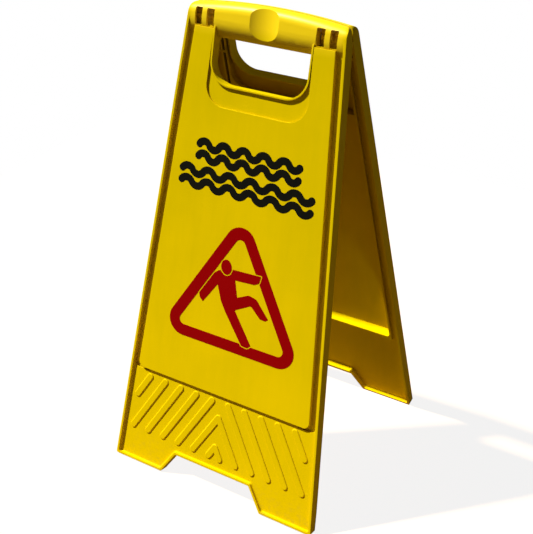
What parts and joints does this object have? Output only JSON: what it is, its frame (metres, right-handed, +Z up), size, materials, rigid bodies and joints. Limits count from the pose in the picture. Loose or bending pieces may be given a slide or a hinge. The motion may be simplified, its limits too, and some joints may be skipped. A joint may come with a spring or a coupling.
{
  "type": "wet floor sign",
  "caption": "Folding A-frame wet floor sign: two moulded yellow panels hinged at the top, with grip holes, a butt stop, ribbed feet and printed warning symbols.",
  "frame": {"origin": "bottom centre of the sign as it stands open: on the floor, midway between the two panels' feet and midway across them", "axes": "+Z up; X along the hinge axis, so that +X is to the right of someone who reads the front panel; the front panel's feet are at -Y and the rear panel's at +Y"},
  "size_m": [0.3, 0.3112, 0.5948],
  "materials": {
    "yellow_moulding": "satin moulded polypropylene, smooth to the touch with a faint moulding grain",
    "red_ink": "screen printed ink, satin",
    "black_ink": "screen printed ink, satin",
    "pin_steel": "plain drawn steel rod"
  },
  "bodies": {
    "front_half": {"front_panel": "yellow_moulding", "front_symbol_print": "red_ink", "front_wave_print": "black_ink", "left_hinge_pin": "pin_steel", "right_hinge_pin": "pin_steel"},
    "rear_half": {"rear_panel": "yellow_moulding", "rear_symbol_print": "red_ink", "rear_wave_print": "black_ink"}
  },
  "joints": [
    {"name": "fold", "type": "hinge", "parent": "front_half", "child": "rear_half", "pos_m": [0, 0, 0.5718], "axis": [-1, 0, 0], "range_deg": [0, 27.9]}
  ]
}
